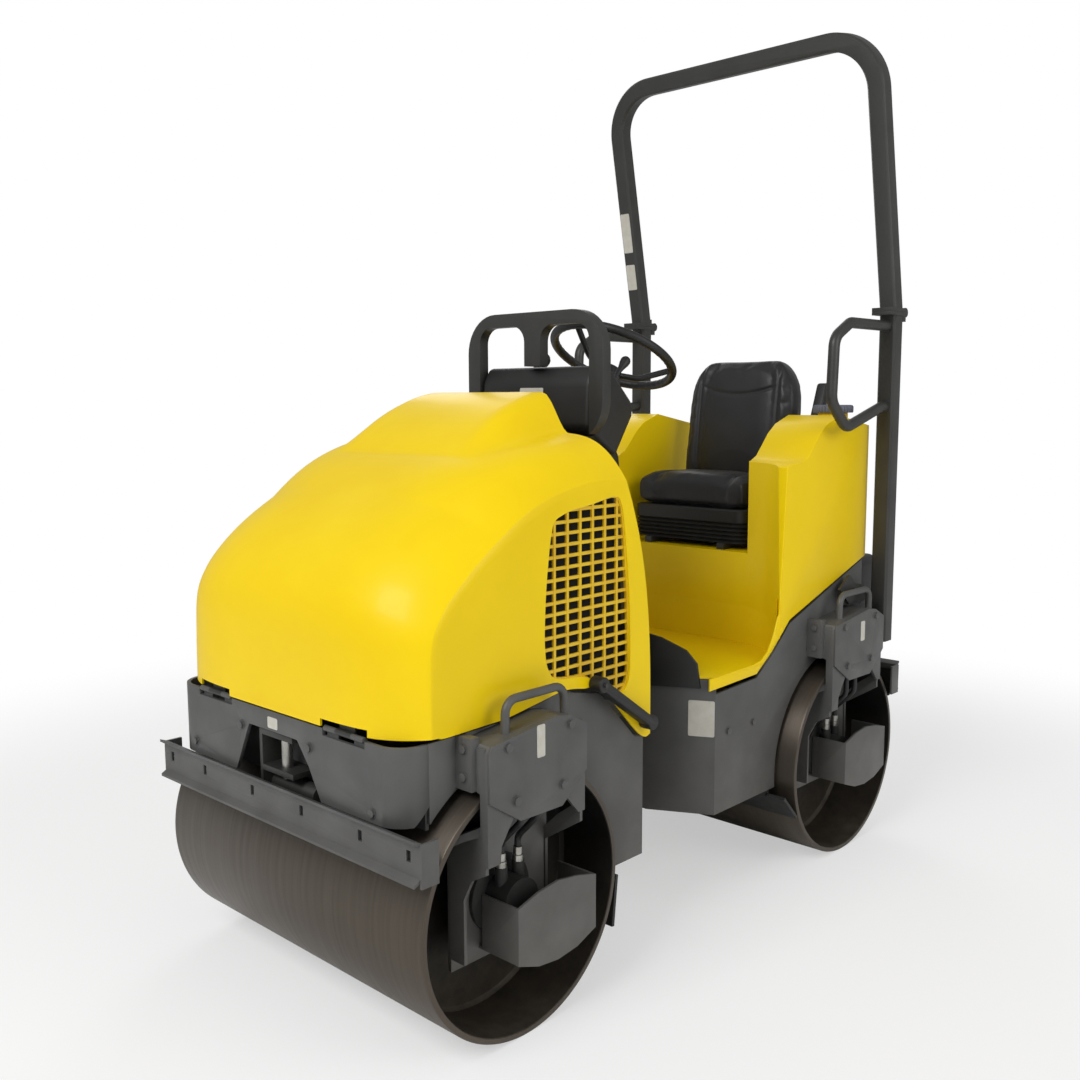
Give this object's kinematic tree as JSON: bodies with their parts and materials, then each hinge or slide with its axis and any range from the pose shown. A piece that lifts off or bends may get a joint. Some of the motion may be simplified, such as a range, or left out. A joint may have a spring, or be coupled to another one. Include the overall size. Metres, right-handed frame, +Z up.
{
  "type": "smooth drum roller",
  "caption": "Small ride-on tandem roller with a hood over the engine, smooth steel drums, a centre pivot, an operator's seat and a folding roll-over bar.",
  "frame": {"origin": "on the ground, midway between the two drum axles and on the machine's middle plane", "axes": "+Z up, -Y towards the hood end, +X to the machine's left side"},
  "size_m": [0.972, 1.916, 2.2889],
  "materials": {
    "yellow_paint": "glossy moulded yellow",
    "frame_paint": "satin grey paint",
    "bar_paint": "satin dark grey paint",
    "drum_steel": "worn rolled steel",
    "zinc_steel": "zinc plated",
    "cast_metal": "rough cast",
    "black_plastic": "fine grain",
    "black_metal": "satin black paint",
    "rubber": "smooth rubber",
    "vinyl": "black vinyl with a fine grain",
    "cap_plastic": "ribbed blue grey plastic"
  },
  "bodies": {
    "front_frame": {"front_chassis": "frame_paint", "front_apron": "frame_paint", "front_bolts": "frame_paint", "tow_bracket": "bar_paint", "front_leg_left": "frame_paint", "front_leg_right": "frame_paint", "front_leg_covers": "frame_paint", "front_drive_motor": "cast_metal", "front_hoses": "rubber", "front_scraper_beam": "frame_paint", "front_scraper_blade": "rubber", "front_inner_scraper": "rubber", "engine_block": "cast_metal", "radiator": "black_metal", "muffler": "drum_steel", "fuel_tank": "black_plastic", "hydraulic_pump": "cast_metal", "articulation_pin": "zinc_steel"},
    "front_drum": {"front_drum": "drum_steel"},
    "exciter": {"exciter_shaft": "cast_metal"},
    "fan": {"engine_fan": "black_plastic"},
    "hood": {"hood": "yellow_paint", "hood_grilles": "yellow_paint", "hood_fittings": "bar_paint"},
    "left_latch": {"left_latch": "rubber"},
    "right_latch": {"right_latch": "rubber"},
    "tow_pin": {"tow_pin": "zinc_steel"},
    "centre_block": {"centre_block": "frame_paint"},
    "steering_barrel": {"steering_barrel": "bar_paint"},
    "steering_rod": {"steering_rod": "zinc_steel"},
    "rear_frame": {"rear_chassis": "frame_paint", "rear_body": "yellow_paint", "kick_panel": "black_plastic", "rear_leg_left": "frame_paint", "rear_leg_right": "frame_paint", "rear_leg_covers": "frame_paint", "rear_bolts": "frame_paint", "rear_drive_motor": "cast_metal", "rear_hoses": "rubber", "rear_scraper_beam": "frame_paint", "rear_scraper_blade": "rubber", "rear_inner_scraper": "rubber", "rear_cover": "black_plastic", "console": "black_plastic", "console_hoop": "bar_paint", "seat_rails": "bar_paint", "rops_lower": "bar_paint", "handrails": "bar_paint", "seat_belt": "black_plastic"},
    "rear_drum": {"rear_drum": "drum_steel"},
    "steering_wheel": {"steering_wheel": "black_plastic"},
    "horn_button": {"horn_button": "zinc_steel"},
    "ignition_key": {"ignition_key": "zinc_steel"},
    "travel_lever": {"travel_lever": "black_plastic"},
    "throttle_lever": {"throttle_lever": "black_plastic"},
    "seat": {"seat_pan": "black_plastic", "seat_cushion": "vinyl", "seat_backrest": "vinyl"},
    "rops_upper": {"rops_upper": "bar_paint"},
    "water_cap": {"water_cap": "cap_plastic"}
  },
  "joints": [
    {"name": "articulation", "type": "hinge", "parent": "front_frame", "child": "centre_block", "pos_m": [0, -0.073, 0.39], "axis": [0, 0, 1], "range_deg": [-28, 28]},
    {"name": "oscillation", "type": "hinge", "parent": "centre_block", "child": "rear_frame", "pos_m": [0, 0.1, 0.39], "axis": [0, 1, 0], "range_deg": [-8, 8]},
    {"name": "front_drum_spin", "type": "hinge", "parent": "front_frame", "child": "front_drum", "pos_m": [0, -0.655, 0.28], "axis": [1, 0, 0], "continuous": true},
    {"name": "rear_drum_spin", "type": "hinge", "parent": "rear_frame", "child": "rear_drum", "pos_m": [0, 0.655, 0.28], "axis": [1, 0, 0], "continuous": true},
    {"name": "exciter_spin", "type": "hinge", "parent": "front_drum", "child": "exciter", "pos_m": [0, -0.655, 0.28], "axis": [1, 0, 0], "continuous": true},
    {"name": "fan_spin", "type": "hinge", "parent": "front_frame", "child": "fan", "pos_m": [0, -0.457, 0.79], "axis": [0, 1, 0], "continuous": true},
    {"name": "hood_hinge", "type": "hinge", "parent": "front_frame", "child": "hood", "pos_m": [0, -0.936, 0.651], "axis": [1, 0, 0], "range_deg": [0, 60]},
    {"name": "left_latch_swing", "type": "hinge", "parent": "hood", "child": "left_latch", "pos_m": [0.431, -0.405, 0.682], "axis": [1, 0, 0], "range_deg": [0, 45]},
    {"name": "right_latch_swing", "type": "hinge", "parent": "hood", "child": "right_latch", "pos_m": [-0.431, -0.405, 0.682], "axis": [1, 0, 0], "range_deg": [0, 45]},
    {"name": "tow_pin_lift", "type": "slide", "parent": "front_frame", "child": "tow_pin", "axis": [0, 0, 1], "range_m": [0, 0.12]},
    {"name": "barrel_swing", "type": "hinge", "parent": "front_frame", "child": "steering_barrel", "pos_m": [0.141, -0.345, 0.345], "axis": [0, 0, 1], "range_deg": [-0.6, 0.6]},
    {"name": "steering_stroke", "type": "slide", "parent": "steering_barrel", "child": "steering_rod", "axis": [0, 1, 0], "range_m": [-0.0705, 0.0705]},
    {"name": "steering_wheel_turn", "type": "hinge", "parent": "rear_frame", "child": "steering_wheel", "pos_m": [0, 0.15, 1.405], "axis": [0, 0.4695, 0.8829], "range_deg": [-545, 545]},
    {"name": "horn_press", "type": "slide", "parent": "steering_wheel", "child": "horn_button", "axis": [0, -0.4695, -0.8829], "range_m": [0, 0.003], "stiffness_N_per_m": 800, "springref_m": -0.002},
    {"name": "key_turn", "type": "hinge", "parent": "rear_frame", "child": "ignition_key", "pos_m": [0.08, -0.0355, 1.3243], "axis": [0, 0.6997, 0.7145], "range_deg": [0, 90]},
    {"name": "travel_lever_tilt", "type": "hinge", "parent": "rear_frame", "child": "travel_lever", "pos_m": [-0.15, -0.0551, 1.3043], "axis": [1, 0, 0], "range_deg": [-20, 20]},
    {"name": "throttle_lever_tilt", "type": "hinge", "parent": "rear_frame", "child": "throttle_lever", "pos_m": [0.145, -0.0551, 1.3043], "axis": [1, 0, 0], "range_deg": [0, 40]},
    {"name": "seat_slide", "type": "slide", "parent": "rear_frame", "child": "seat", "axis": [0, 1, 0], "range_m": [-0.06, 0.06]},
    {"name": "bar_fold", "type": "hinge", "parent": "rear_frame", "child": "rops_upper", "pos_m": [0, 0.88427, 1.532], "axis": [-1, 0, 0], "range_deg": [0, 110]},
    {"name": "water_cap_turn", "type": "hinge", "parent": "rear_frame", "child": "water_cap", "pos_m": [0.33, 0.745, 1.26], "axis": [0, 0, 1], "range_deg": [0, 300]}
  ],
  "couplings": [
    {"joint": "barrel_swing", "follows": "articulation", "ratio": 0.02},
    {"joint": "steering_stroke", "follows": "articulation", "m_per_rad": 0.1438},
    {"joint": "steering_wheel_turn", "follows": "articulation", "ratio": -19.3}
  ]
}
